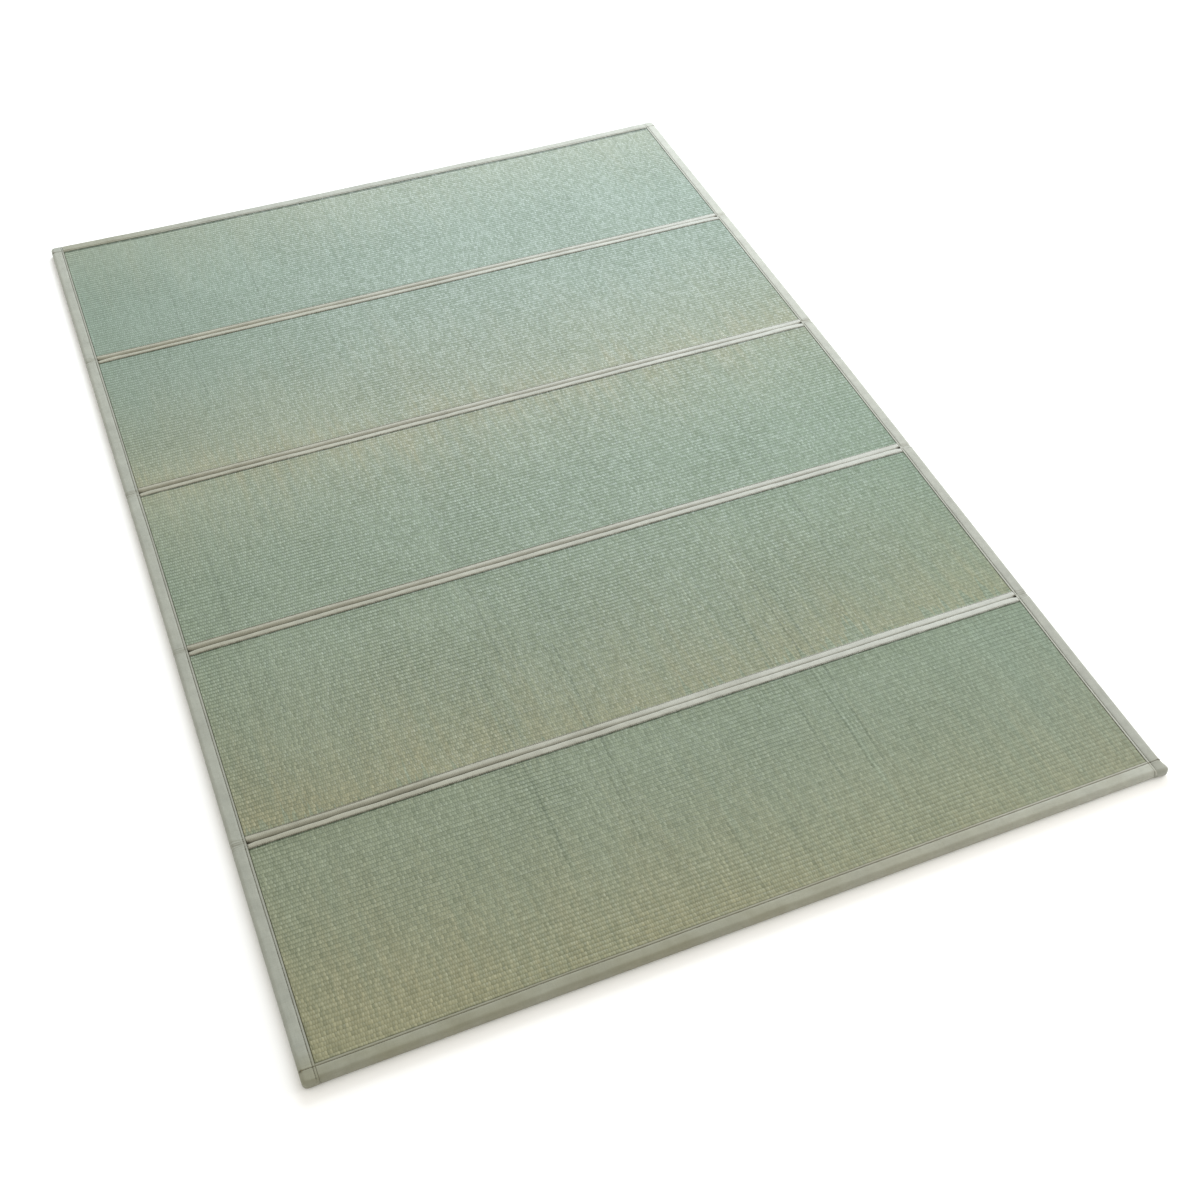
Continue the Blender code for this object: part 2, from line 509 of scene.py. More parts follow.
class Finish:
    """A procedural material, built as expressions on shader values."""

    def __init__(self, name):
        self.material = bpy.data.materials.new(name)
        self.material.use_nodes = True
        self.tree = self.material.node_tree
        self.shader = self.tree.nodes["Principled BSDF"]
        place = self.node("ShaderNodeTexCoord", output="Object")
        parts = self.node("ShaderNodeSeparateXYZ", inputs={0: place}).socket.node.outputs
        self.x, self.y, self.z = (Value(self, socket) for socket in parts)

    def node(self, kind, settings=None, inputs=None, output=0):
        made = self.tree.nodes.new(kind)
        for key, value in (settings or {}).items():
            if key == "stops":
                self.set_stops(made.color_ramp, value)
            else:
                setattr(made, key, value)
        for key, value in (inputs or {}).items():
            self.feed(made.inputs[key], value)
        return Value(self, made.outputs[output])

    def feed(self, socket, value):
        """Links a shader value to a socket, or sets the socket to a plain value."""
        if isinstance(value, Value):
            self.tree.links.new(value.socket, socket)
        else:
            socket.default_value = value

    @staticmethod
    def set_stops(ramp, stops):
        while len(ramp.elements) < len(stops):
            ramp.elements.new(1)
        for element, (place, level) in zip(ramp.elements, stops):
            element.position = place
            element.color = (level, level, level, 1)

    def vector(self, x=0.0, y=0.0, z=0.0):
        return self.node("ShaderNodeCombineXYZ", inputs={"X": x, "Y": y, "Z": z})

    def chance(self, x, y=0.0):
        """An even random value from 0 to 1 for each pair of whole numbers."""
        return self.node(
            "ShaderNodeTexWhiteNoise", {"noise_dimensions": "2D"}, {"Vector": self.vector(x, y)}, "Value"
        )

    def cloud(self, x, y, z=0.0, detail=2.0):
        """Soft noise, mostly from 0.25 to 0.75, in steps of about 1 of what x, y and z count."""
        return self.node(
            "ShaderNodeTexNoise", inputs={"Vector": self.vector(x, y, z), "Scale": 1.0, "Detail": detail},
            output="Fac",
        )

    def soil(self):
        """The painted shade that the mesh's points carry: how dark each place is painted."""
        return self.node("ShaderNodeAttribute", {"attribute_name": "soil"}, output="Fac")

    def ramp(self, value, stops):
        """A value that follows stops of (place, level)."""
        return self.node("ShaderNodeValToRGB", {"stops": stops}, {"Fac": value})

    def mix(self, share, first, second, blend="MIX"):
        """A blend of two colours, each a shader value or a colour of the settings."""
        settings = {"data_type": "RGBA", "blend_type": blend, "clamp_factor": True}
        inputs = {"Factor": share}
        for socket, colour in zip(MIX_COLOURS, (first, second)):
            inputs[socket] = colour if isinstance(colour, Value) else (*colour, 1)
        return self.node("ShaderNodeMix", settings, inputs, MIX_RESULT)

    def shade(self, colour, level):
        """A colour made lighter or darker by a value."""
        return self.mix(1.0, colour, self.vector(level, level, level), "MULTIPLY")

    def bumps(self, height, distance, strength=1.0):
        return self.node(
            "ShaderNodeBump", inputs={"Strength": strength, "Distance": distance, "Height": height},
            output="Normal",
        )

    def finish(self, **sockets):
        for name, value in sockets.items():
            self.feed(self.shader.inputs[name.replace("_", " ")], value)
        return self.material


def colour_property(name, description, default):
    return bpy.props.FloatVectorProperty(
        name=name, description=description, default=default, subtype="COLOR", size=3, min=0, max=1
    )


def length_property(name, description, default):
    return bpy.props.FloatProperty(
        name=name, description=description, default=default, unit="LENGTH", precision=5, min=0
    )


class RushSettings(bpy.types.PropertyGroup):
    """Sizes and colours of the woven rush."""

    rib_pitch: length_property("Rib pitch", "From one rib of the weave to the next", 0.0075)
    rib_height: length_property("Rib height", "How far a rib stands above the grooves beside it", 0.00025)
    stem_width: length_property("Stem width", "Width of one visible stem of rush", 0.0039)
    crest: length_property("Crest height", "Height of the ribs' crests above the floor", THICKNESS - 0.0004)
    green: colour_property("Green rush", "Colour in the middle of the stems", (0.137, 0.200, 0.145))
    straw: colour_property("Straw rush", "Colour near the ends of the stems", (0.209, 0.203, 0.112))


class TapeSettings(bpy.types.PropertyGroup):
    """Sizes and colours of the edge tapes."""

    seam: length_property("Seam", "From the mat's edge to the tape's line of stitches", 0.0203)
    station: length_property("Step", "Length of the mesh's steps along the tape", 0.004)
    colour: colour_property("Tape", "Colour of the edge tape at the left", (0.28, 0.290, 0.248))
    # Pale tape: painted light on the tapes towards the right
    pale: colour_property("Pale tape", "Colour of the edge tape at the right", (0.362, 0.372, 0.33))
    # Warm tape: the end tapes' own browner colour, and on the front one also painted shade
    warm: colour_property("Warm tape", "Colour of the end tapes at the left", (0.16, 0.147, 0.068))
    # The colour drawn where shade is painted on the tapes
    shaded: colour_property("Painted shade on tape", "Colour in the tape's creases and seams", (0.1, 0.088, 0.055))


class BindingSettings(bpy.types.PropertyGroup):
    """Sizes and colours of the fold bindings."""

    seam: length_property("Seam", "From the fold to the binding's line of stitches", 0.0114)
    station: length_property("Step", "Length of the mesh's steps along the binding", 0.003)
    colour: colour_property("Binding", "Colour of the fold binding", (0.29, 0.288, 0.227))
    # Pale binding: painted light on the bindings towards the right
    pale: colour_property("Pale binding", "Colour of the fold binding at the right", (0.407, 0.42, 0.385))
    # The colour drawn where shade is painted on the bindings
    shaded: colour_property("Painted shade on binding", "Colour in the folds and seams", (0.1, 0.088, 0.06))


class ThreadSettings(bpy.types.PropertyGroup):
    """Sizes and colour of the sewing thread."""

    stitch: length_property("Stitch", "Length of one stitch", 0.0028)
    gap: length_property("Gap", "From one stitch to the next", 0.0009)
    thickness: length_property("Thickness", "Thickness of the thread", 0.0005)
    colour: colour_property("Thread", "Colour of the thread", (0.07, 0.065, 0.045))


class StudioSettings(bpy.types.PropertyGroup):
    """The floor, the lights and the camera."""

    floor: colour_property("Floor", "Colour of the floor", (0.95, 0.95, 0.95))
    sky: bpy.props.FloatProperty(
        name="Sky", description="Strength of the even light from all round", default=0.93, min=0
    )
    window: bpy.props.FloatProperty(
        name="Window", description="Power of the large soft light behind the mat", default=235,
        unit="POWER", min=0,
    )
    side: bpy.props.FloatProperty(
        name="Side window", description="Power of the soft light on the mat's right", default=50,
        unit="POWER", min=0,
    )
    lens: bpy.props.FloatProperty(
        name="Lens", description="Focal length of the camera", default=49.65, unit="CAMERA", min=1
    )


def panel_end(edge, inward):
    """One end of a panel: its edge, the way in, 1 or -1, and how far in its rush and its core start."""
    if abs(edge) == LENGTH / 2:
        return edge, inward, EDGE_SEAT, EDGE_CLEARANCE
    return edge, inward, FOLD_SEAT, FOLD_CLEARANCE


def rush_edge(edge, inward, seat, clear, lowest):
    """Points (y, z) down one end of a panel's core, from where its rush ends to the flat underside."""
    points = [(edge + inward * seat, SEAT_HEIGHT)]
    for low, shares in ((False, np.linspace(0, 1, 5)), (True, np.linspace(1, 0, 4))):
        for angle in shares * math.pi / 2:
            rise = CORE_RADIUS * (1 - math.cos(angle))
            z = SEAT_LOW + rise if low else SEAT_HEIGHT - rise
            points.append((edge + inward * (clear + CORE_RADIUS * (1 - math.sin(angle))), z))
    points.append((edge + inward * seat, SEAT_LOW))
    points.append((edge + inward * (seat + 0.0002), lowest))
    return np.array(points)


class RUSHMAT_OT_rush_panels(bpy.types.Operator):
    """Builds the five padded panels with their woven rush faces"""

    bl_idname = "rushmat.rush_panels"
    bl_label = "Rush panels"

    def execute(self, context):
        settings = context.scene.rush_mat_rush
        finish = rush_finish(settings)
        for number in range(1, PANEL_COUNT + 1):
            piece = rush_panel(number, settings, finish)
        return {"FINISHED"}


def rush_height(x, y, settings):
    """Height of the woven face: round ribs along X, parted by narrow grooves and a little uneven."""
    phase = (y + rib_wobble(x)) / settings.rib_pitch
    round_rib = np.abs(np.sin(math.pi * phase)) ** 0.8
    uneven = 1 + 0.22 * ripple(x + 0.37 * np.floor(phase), 0.12, 21, 2)
    return settings.crest - settings.rib_height * (1 - round_rib) * uneven


def rush_section(x, rows, ends, settings):
    """Points (y, z) round a panel at x, and the number of those that come before its face.

    They run up the back end, over the face, down the front end and back along the underside.
    """
    on_face = abs(x) <= RUSH_X + 1e-6
    places = rows - rib_wobble(x) * smooth(np.minimum(rows[0] - rows, rows - rows[-1]), 0, 0.004)
    heights = rush_height(x, places, settings) if on_face else np.full(len(rows), SEAT_HEIGHT)
    lowest = 0.0 if on_face else SEAT_LOW
    back_side, front_side = (rush_edge(*end, lowest) for end in ends)
    underside = np.column_stack((np.linspace(rows[-1], rows[0], 7)[1:-1], np.full(5, lowest)))
    face = np.column_stack((places, heights))
    section = np.concatenate((back_side[::-1], face, front_side, underside))
    past = abs(x) - (CORE_X - CORE_RADIUS)
    if past > 0:
        core = MIDDLE - SEAT_LOW
        keep = (core - CORE_RADIUS + math.sqrt(max(CORE_RADIUS**2 - past**2, 0))) / core
        section[:, 1] = MIDDLE + (section[:, 1] - MIDDLE) * keep
    corner = max(abs(x) - (WIDTH / 2 - CORNER_RADIUS - 0.002), 0)
    draw = CORNER_RADIUS - math.sqrt(max(CORNER_RADIUS**2 - corner**2, 0))
    for edge, inward, seat, _ in ends:
        if abs(edge) == LENGTH / 2:
            near = np.abs(section[:, 0] - edge) < seat
            section[near, 0] += inward * draw * (1 - np.abs(section[near, 0] - edge) / seat)
    return section, len(back_side)


def rush_panel(number, settings, finish):
    """One panel as a run of sections across Y, from its left side under the tape to its right side."""
    edges = (LENGTH / 2, *FOLDS, -LENGTH / 2)
    ends = panel_end(edges[number - 1], -1), panel_end(edges[number], 1)
    back, front = ends
    rush_top = back[0] - back[2]
    rush_low = front[0] + front[2]
    step = settings.rib_pitch / 6
    first = math.ceil((rush_low + 0.0008) / step)
    last = math.floor((rush_top - 0.0008) / step)
    rows = np.arange(last, first - 1, -1) * step
    rows = np.concatenate(([rush_top, rush_top - 0.0003], rows, [rush_low + 0.0003, rush_low]))
    support = RUSH_X - 0.0006
    face_x = np.concatenate(([-RUSH_X], np.linspace(-support, support, 92), [RUSH_X]))
    core_arc = CORE_X - CORE_RADIUS + CORE_RADIUS * np.sin(np.radians([0, 25, 50, 70, 90]))
    side_x = np.concatenate(([RUSH_X + GAP, 0.5 * (RUSH_X + CORE_X)], core_arc))

    # Painted shade lies along both ends of the rush, in its widest line at the back tape
    line = (4.6 if number == 1 else 1.2) * MM
    behind = smooth(rows, rush_top - line - 2 * MM, rush_top - line)
    ahead = 0.6 * smooth(rows, rush_low + 2.2 * MM, rush_low + 0.8 * MM)
    sections, soil = [], []
    for x in np.concatenate((-side_x[::-1], face_x, side_x)):
        section, before = rush_section(x, rows, ends, settings)
        sections.append(np.column_stack((np.full(len(section), x), section)))
        end_shade = np.zeros(len(section))
        if abs(x) <= RUSH_X + 1e-6:
            opening = 1 - fold_closed(x, min(number, len(FOLDS)))
            end_shade[before:before + len(rows)] = behind + ahead * opening
        soil.append(end_shade)
    points = np.array(sections)
    numbers = grid_numbers(0, *points.shape[:2])
    faces = quads_of(np.concatenate((numbers, numbers[:, :1]), axis=1)).tolist()
    faces += [numbers[0].tolist(), numbers[-1].tolist()]
    name = f"rush_panel_{number}"
    return make_piece(name, settle(points), faces, finish, (f"panel_{number}",), np.array(soil))


# How much of the rush is straw-coloured along the mat, from the front edge at 0 to the back edge at 1
STRAW_STOPS = (
    (0.0, 0.95), (0.03, 0.8), (0.1, 0.53), (0.15, 0.4), (0.1999, 0.33), (0.2001, 0.85), (0.23, 0.67),
    (0.27, 0.48), (0.32, 0.34), (0.38, 0.22), (0.46, 0.17), (0.51, 0.26), (0.56, 0.42), (0.585, 0.58),
    (0.6, 0.76), (0.615, 0.6), (0.64, 0.45), (0.69, 0.32), (0.75, 0.16), (0.8, 0.12), (0.87, 0.1),
    (0.93, 0.23), (1.0, 0.42),
)


def rush_finish(settings):
    """Woven rush: ribs of short dashes of stem, straw-coloured in bands where the stems end."""
    made = Finish("woven rush")
    x, y = made.x, made.y
    stem = x / settings.stem_width + (made.cloud(x * 42, y * 16) - 0.5) * 1.8
    stem_luck = made.chance(stem.floor(), 3.0)
    rib = (y + rib_wobble(x, Value.sine)) / settings.rib_pitch
    rib = rib + (made.cloud(x * 40, y * 25, 6.0) - 0.5) * 0.3 + 0.12 * (stem_luck - 0.5)
    row = rib.floor()
    parity = row % 2
    up = (rib.fraction() - 0.5) * 2
    dash_place = stem + 1.5 * parity + 0.3 * made.chance(row, 7.0)
    across = (dash_place.fraction() - 0.5) * 2

    # Chances: of a stretch of one stem, and of the one dash that shows
    stretch = made.chance(stem.floor(), (y * 6 + stem_luck * 9).floor())
    dash = made.chance(dash_place.floor(), row)
    streaks = made.cloud(x * 260, y * 12, 4.0) - 0.5
    grain = made.cloud(x * 90, y * 60, 9.0, 3.0) - 0.5

    # The bands of straw have ragged edges, drawn out along the stems, and each panel has its own
    brushed = made.cloud(x * 95, y * 5, 11.0) - 0.5
    ragged = (made.cloud(x * 20, y * 1.5, 3.0) - 0.5) * 0.4
    ragged = ragged + (made.cloud(x * 110, y * 3, 5.0) - 0.5) * 0.5
    drift = (made.cloud(x * 2.2, y * 1.2, 7.0, 3.0) - 0.5) * 0.4
    place = (y + LENGTH / 2) / PANEL_LENGTH
    within = (place.fraction() + ragged + drift).most(0.001).least(0.999)
    straw = made.ramp((place.floor() + within) / PANEL_COUNT, STRAW_STOPS)
    straw = (straw + x * (0.16 * y - 0.14) + 0.02 * streaks + 0.04 * brushed).most(0.0).least(1.0)
    colour = made.mix(straw, settings.green, settings.straw)
    # Painted sheen: a paler patch at the left, round the second fold
    painted_sheen = (y - 0.2).size().smooth(0.16, 0.03) * x.smooth(0.0, -0.6)

    # How deep the weave shows, in its ribs and in all
    vigour = made.cloud(x * 5, y * 4, 2.0).smooth(0.35, 0.65, 0.75, 1.25)
    vigour = vigour * straw.smooth(0.35, 0.6, 1.1, 0.7) * y.smooth(-0.8, -1.0, 1.0, 0.65)
    vigour = vigour * (1 - 0.5 * y.smooth(-0.8, -0.95) * x.smooth(-0.2, -0.5))
    calm = y.smooth(-0.6, 0.7, 1.0, 0.64) * x.smooth(-0.5, 0.1, 1.03, 0.9)
    body = (1 - 0.5 * across * across) * (1 - 0.65 * vigour * up * up)
    tone = 0.945 + 0.28 * (dash - 0.5) + 0.11 * (dash_place.floor() % 2 - 0.5) + 0.04 * parity
    tone = tone + 0.06 * (stretch - 0.5) + 0.12 * streaks + 0.1 * grain + 0.08 * brushed

    # Painted sheen: paler towards the back, and in a patch at the left round the second fold. Paler and
    # darker stretches of the mat, and single pale and dark stems
    tone = tone + 0.06 * painted_sheen + 0.08 * y.smooth(0.7, 1.0)
    tone = tone + 0.045 * x.smooth(0.2, -0.6) * y.smooth(-0.7, -0.3) + 0.03 * y.smooth(0.4, 0.8)
    tone = tone - 0.06 * (y + 0.46).size().smooth(0.22, 0.02) * x.smooth(0.6, 0.35)
    tone = tone + 0.05 * (y + 0.68).size().smooth(0.2, 0.05) * x.smooth(0.35, 0.6)
    tone = tone + 0.14 * made.chance(stem.floor(), (y * 3.1).floor()).smooth(0.96, 1.0)
    tone = tone - 0.2 * made.chance(stem.floor(), (y * 2.3 + 5).floor()).smooth(0.97, 1.0)
    # Painted shade in the grooves between the ribs, stronger at the left, and at the edges of the stems
    groove = (0.15 + 0.26 * up * up) * up * up * vigour * x.smooth(-0.3, 0.35, 1.15, 0.8)
    groove = groove + across * across * across * across * 0.15
    tone = 0.85 + calm * (tone * (1 - groove) - 0.85)
    # Painted shade along the rush's ends, beside the tapes and bindings, a little uneven
    uneven_shade = 0.9 + 1.4 * (made.cloud(x * 70, y * 9, 13.0) - 0.5)
    tone = (tone * (1 - 0.85 * made.soil() * uneven_shade)).most(0.15)
    # Painted reflection: bluer towards the back, as the window's bluish sheen. Also a little bluer at the
    # front and the left, and less blue in the middle right. Brighter places are drawn whiter and darker
    # ones greener, a painted trace of glints off the stems.
    blue = 0.97 + 0.07 * y.smooth(-0.1, 0.6) + (0.025 + 0.03 * x) * y.smooth(-0.55, -0.9)
    blue = blue + 0.02 * x.smooth(-0.3, -0.6) + 0.03 * x.smooth(0.4, 0.65) * y.smooth(-0.6, -0.7)
    blue = blue - 0.015 * x.smooth(0.0, 0.4) * y.size().smooth(0.5, 0.3)
    tint = made.vector(1.08 * tone - 0.08, tone, (1.16 * tone - 0.16) * blue)
    colour = made.mix(1.0, colour, tint, "MULTIPLY")
    fibres = made.cloud(x * 2600, y * 60, 2.0)
    tilt = 0.8 * (made.chance(dash_place.floor(), row + 0.5) - 0.5) * up
    normal = made.bumps(calm * (body + 0.2 * dash + tilt) + 0.12 * fibres, 0.6 * MM, 0.65)
    rough = 0.42 + 0.18 * made.chance(dash_place.floor(), row + 0.25) + 0.1 * (1 - body)
    return made.finish(Base_Color=colour, Roughness=rough, Normal=normal, Specular_IOR_Level=0.55)


def cloth_finish(name, settings, thread_pitch):
    """Fine woven cotton: two sets of threads, slubs, soft changes of tone, and painted shade where it dips,
    creases and meets other parts.
    """
    made = Finish(name)
    x, y, z = made.x, made.y, made.z
    across = x / thread_pitch
    along = y / thread_pitch
    parity = (across.floor() + along.floor()) % 2
    warp = 1 - ((across.fraction() - 0.5) * 2).size()
    weft = 1 - ((along.fraction() - 0.5) * 2).size()
    weave = parity * warp + (1 - parity) * weft
    slubs = made.cloud(x * 900, y * 90, z * 90) + made.cloud(x * 90, y * 900, z * 90) - 1
    soft = made.cloud(x * 38, y * 38, z * 60, 3.0) - 0.5
    patches = made.cloud(x * 9, y * 9, 3.0, 3.0) - 0.5
    tone = 0.93 + 0.1 * weave + 0.2 * slubs + 0.32 * soft + 0.2 * patches
    # Painted light: the cloth paler towards the right, drawn in the pale colour
    colour = made.mix((x + 0.5 * patches).smooth(-0.75, 0.75), settings.colour, settings.pale)
    # Painted shade from the mesh's points, a little uneven, drawn in the shaded colour
    soil = (made.soil() * (0.85 + 0.6 * soft)).most(0.0).least(1.0)
    colour = made.mix(soil, made.shade(colour, tone), settings.shaded)
    normal = made.bumps(weave + 0.8 * slubs + 3.0 * soft, 0.06 * MM, 0.8)
    return made, colour, 0.72 - 0.1 * weave, normal


class RUSHMAT_OT_edge_tapes(bpy.types.Operator):
    """Builds the four tapes folded over the mat's edges, with their stitches"""

    bl_idname = "rushmat.edge_tapes"
    bl_label = "Edge tapes"

    def execute(self, context):
        settings = context.scene.rush_mat_tape
        made, colour, rough, normal = cloth_finish("edge tape", settings, 0.0005)
        x, y = made.x, made.y
        # Warmer and darker end tapes: the front one along most of its length, partly its own browner colour
        # and partly painted shade on its face, which leans away from the window; the back one at its left
        # end. The right tape darker towards the front.
        mottled = 0.4 * (made.cloud(x * 16, y * 30, 5.0, 3.0) - 0.5)
        front = y.smooth(-0.99, -1.04) * (x.smooth(1.0, 0.0, 0.06, 0.45) + mottled)
        back = y.smooth(1.02, 1.03) * x.smooth(-0.25, -0.62, 0.0, 0.36) * x.smooth(-0.677, -0.675)
        right = x.smooth(0.674, 0.677) * y.smooth(0.6, -1.0, -0.06, 0.17)
        colour = made.mix(front + back + 0.1 * right, colour, settings.warm)
        finish = made.finish(
            Base_Color=made.shade(colour, 1 - right), Roughness=rough, Normal=normal, Sheen_Weight=0.25,
            Sheen_Roughness=0.4, Specular_IOR_Level=0.3,
        )
        thread = thread_finish(context.scene.rush_mat_thread)
        panels = [f"rush_panel_{number}" for number in range(1, PANEL_COUNT + 1)]
        sides = {
            "left": (1, WIDTH / 2, LENGTH / 2 + 0.0006, "side_tape_left", panels),
            "right": (3, WIDTH / 2, LENGTH / 2 + 0.0006, "side_tape_right", panels),
            "back": (0, LENGTH / 2, INSIDE_X, "end_tape_back", panels[:1]),
            "front": (2, LENGTH / 2, INSIDE_X, "end_tape_front", panels[-1:]),
        }
        for order, (name, place) in enumerate(sides.items()):
            self.tape(context, name, *place, finish, thread, 100 * order)
        return {"FINISHED"}

    def tape(self, context, name, turn, edge, half, node, below, finish, thread, seed):
        settings = context.scene.rush_mat_tape
        sewing = context.scene.rush_mat_thread
        long_side = name in ("left", "right")
        places = [np.arange(-half, half, settings.station), [half - 0.0005, 0.0005 - half, half]]
        creases, crossings = [], []
        if long_side:
            facing = 1 if turn == 1 else -1
            creases = [(fold * facing, 0.45 + 0.3 * (number % 2)) for number, fold in enumerate(FOLDS)]
            crossings = [side * (LENGTH / 2 - settings.seam) for side in (-1, 1)]
            places += [steps_round(place, CREASE_REACH, CREASE_STEP) for place, _ in creases]
            places += [steps_round(place, CROSSING_REACH, CROSSING_STEP) for place in crossings]
            ends = half - EDGE_RADIUS + EDGE_RADIUS * np.sin(np.radians([0, 15, 30, 45, 60, 75, 90]))
            places += [ends, -ends]
        stations = thinned(places, 0.00012)
        shares = (np.array(TAPE_MARKS) * MM - EDGE_RADIUS) / (TAPE_WIDTH - EDGE_RADIUS)
        outer = tape_face(stations, half, 0.0, profile_samples(3, 4, 2, 7, shares), long_side)
        inner = tape_face(stations, half, CLOTH, profile_samples(2, 3, 0, 4, (0.5, 1.0)), long_side)
        relief, soil = tape_relief(outer, settings, seed, creases, crossings)
        # Painted shadow along the back tape's inner edge, where it meets the rush
        if name == "back":
            soil[:, -2:] += 0.6
        relief[:, [0, -1]] -= 0.15 * MM
        done = outer + surface_normals(outer) * relief[..., None]
        piece = folded_strip(
            f"edge_tape_{name}", done, inner, soil, edge, turn, long_side, finish, node
        )

        bars = [seam_stitches(half - 0.004, tape_seam, outer, done, 0.12 * MM, settings, sewing, seed)]
        for place in crossings:
            run = np.arange(KNOT_INWARD + 0.0005, TAPE_WIDTH - 0.001, sewing.stitch + sewing.gap)
            level = top_height(outer[:, 0, 0], done, np.full(len(run), place), run) + 0.12 * MM
            row = stitch_points(np.column_stack((run, np.zeros(len(run)))), level, sewing, sewing.stitch)
            crossed = turned(row, 3)
            crossed[..., 0] += place
            middle = np.array([[place, -KNOT_INWARD]])
            knot = stitch_points(middle, level[:1] + 0.1 * MM, sewing, KNOT_LENGTH)
            knot[..., 1] = -KNOT_INWARD + (knot[..., 1] + KNOT_INWARD) * KNOT_SWELL
            bars += [crossed, knot]
        stitches = sewn_line(f"tape_stitches_{name}", np.concatenate(bars), edge, turn, thread)
        length = 2 * half + (2 * THICKNESS if long_side else 0)


def thread_finish(settings):
    """Two-ply sewing thread, matte, a little uneven in tone."""
    made = bpy.data.materials.get("sewing thread")
    if made:
        return made
    made = Finish("sewing thread")
    twist = ((made.x + made.y) * 9000).sine()
    tone = 0.9 + 0.12 * twist + 0.5 * (made.cloud(made.x * 60, made.y * 60, made.z * 60) - 0.5)
    colour = made.shade(settings.colour, tone)
    return made.finish(Base_Color=colour, Roughness=0.8, Normal=made.bumps(twist, 0.05 * MM, 0.6))


BINDING_TOP = (0.12, 0.25, 0.38, 0.5, 0.6, 0.68, 0.74, 0.79, 0.84, 0.89, 0.94, 1.0)


class RUSHMAT_OT_fold_bindings(bpy.types.Operator):
    """Builds the two bindings of each fold, with their stitches"""

    bl_idname = "rushmat.fold_bindings"
    bl_label = "Fold bindings"

    def execute(self, context):
        settings = context.scene.rush_mat_binding
        made, colour, rough, normal = cloth_finish("fold binding", settings, 0.0006)
        ribs = (made.x * 2 * math.pi / 0.0028 + 2 * made.cloud(made.x * 9, made.y * 40, 4.0)).sine()
        finish = made.finish(
            Base_Color=made.shade(colour, 1 + 0.05 * ribs), Roughness=rough, Normal=normal,
            Sheen_Weight=0.15, Specular_IOR_Level=0.25,
        )
        thread = thread_finish(context.scene.rush_mat_thread)
        for number, fold in enumerate(FOLDS, 1):
            for side in ("back", "front"):
                self.binding(context, number, side, fold, finish, thread)
        return {"FINISHED"}

    def binding(self, context, number, side, fold, finish, thread):
        settings = context.scene.rush_mat_binding
        sewing = context.scene.rush_mat_thread
        behind = side == "back"
        turn = 2 if behind else 0
        edge = (-fold if behind else fold) - GAP / 2
        seed = 1000 + 10 * number + behind
        half = INSIDE_X - GAP
        stations = thinned([np.arange(-half, half, settings.station), [half - 0.0005, half]], 0.0004)
        across = -stations if behind else stations
        retreat = fold_retreat(across, number, behind)
        closed = fold_closed(across, number)
        round_top = 0.0066 - 0.0038 * closed if behind else 0.0034 - 0.0014 * closed
        outer_samples = profile_samples(2, 4, 2, 8, BINDING_TOP)
        inner_samples = profile_samples(2, 3, 0, 4, (0.5, 1.0))
        outer = binding_face(stations, 0.0, round_top, retreat, outer_samples, behind)
        inner = binding_face(stations, CLOTH, round_top, retreat, inner_samples, behind)
        relief, soil = binding_relief(outer, settings, seed, behind, closed[:, None])
        relief[:, -1] -= 0.4 * MM
        done = outer + surface_normals(outer) * relief[..., None]
        piece = folded_strip(
            f"binding_{number}_{side}", done, inner, soil, edge, turn, False, finish,
            f"fold_{number}_binding_{side}",
        )

        bars = seam_stitches(
            half - 0.003, binding_seam, outer, done, 0.1 * MM, settings, sewing, seed
        )
        stitches = sewn_line(f"binding_stitches_{number}_{side}", bars, edge, turn, thread)


def binding_seam(along, settings, seed):
    """How far in from the fold a binding is sewn."""
    return settings.seam + 0.3 * MM * ripple(along, 0.3, seed, 2)


def fold_closed(x, number):
    """How closely a fold's two strips press together at x: open at the left, shut at the right."""
    half = FOLD_SHUTS[number - 1]
    uneven = 0.25 * ripple(x, 0.3, 80 + number, 2) * bump(x, half, 0.4)
    return np.clip(smooth(x, half - 0.45, half + 0.4) + uneven, 0, 1)


def fold_retreat(x, number, behind):
    """How far a binding's nose draws back from the fold at x, which opens the groove there."""
    wander = 0.5 * ripple(x, 0.5, 60 + number, 3)
    own = 0.35 * ripple(x, 0.16, 70 + 2 * number + behind, 3)
    left_gap = 0.9 * bump(x, -0.62 + 0.03 * number, 0.16)
    right_hole = 1.7 * bump(x, INSIDE_X, 0.006)
    left_hole = 1.5 * bump(x, -INSIDE_X, 0.008)
    signed = wander if behind else -wander
    open_share = 1 - 0.8 * fold_closed(x, number)
    return MM * np.clip((0.35 + signed + own) * open_share + left_gap + right_hole + left_hole, 0, 2.0)


def binding_face(stations, inset, round_top, retreat, samples, behind):
    """One face of a fold binding, with its nose drawn back by the retreat and its top a little crowned."""

    def outline(depth):
        return -inset - depth

    face = strip_face(stations, inset, round_top, BINDING_WIDTH, samples, 0.0, outline)
    inward, z = -face[..., 1], face[..., 2]
    hold = smooth(inward, BINDING_WIDTH - 0.002, 0.003) * smooth(z, 0.003, 0.011)
    crown = np.sin(math.pi * np.clip(inward / BINDING_WIDTH, 0, 1)) ** 0.8
    upper = np.array(["top" in part for part, _ in samples])
    face[..., 1] -= retreat[:, None] * hold
    face[..., 2] += upper * (0.35 if behind else 0.7) * MM * crown
    return face


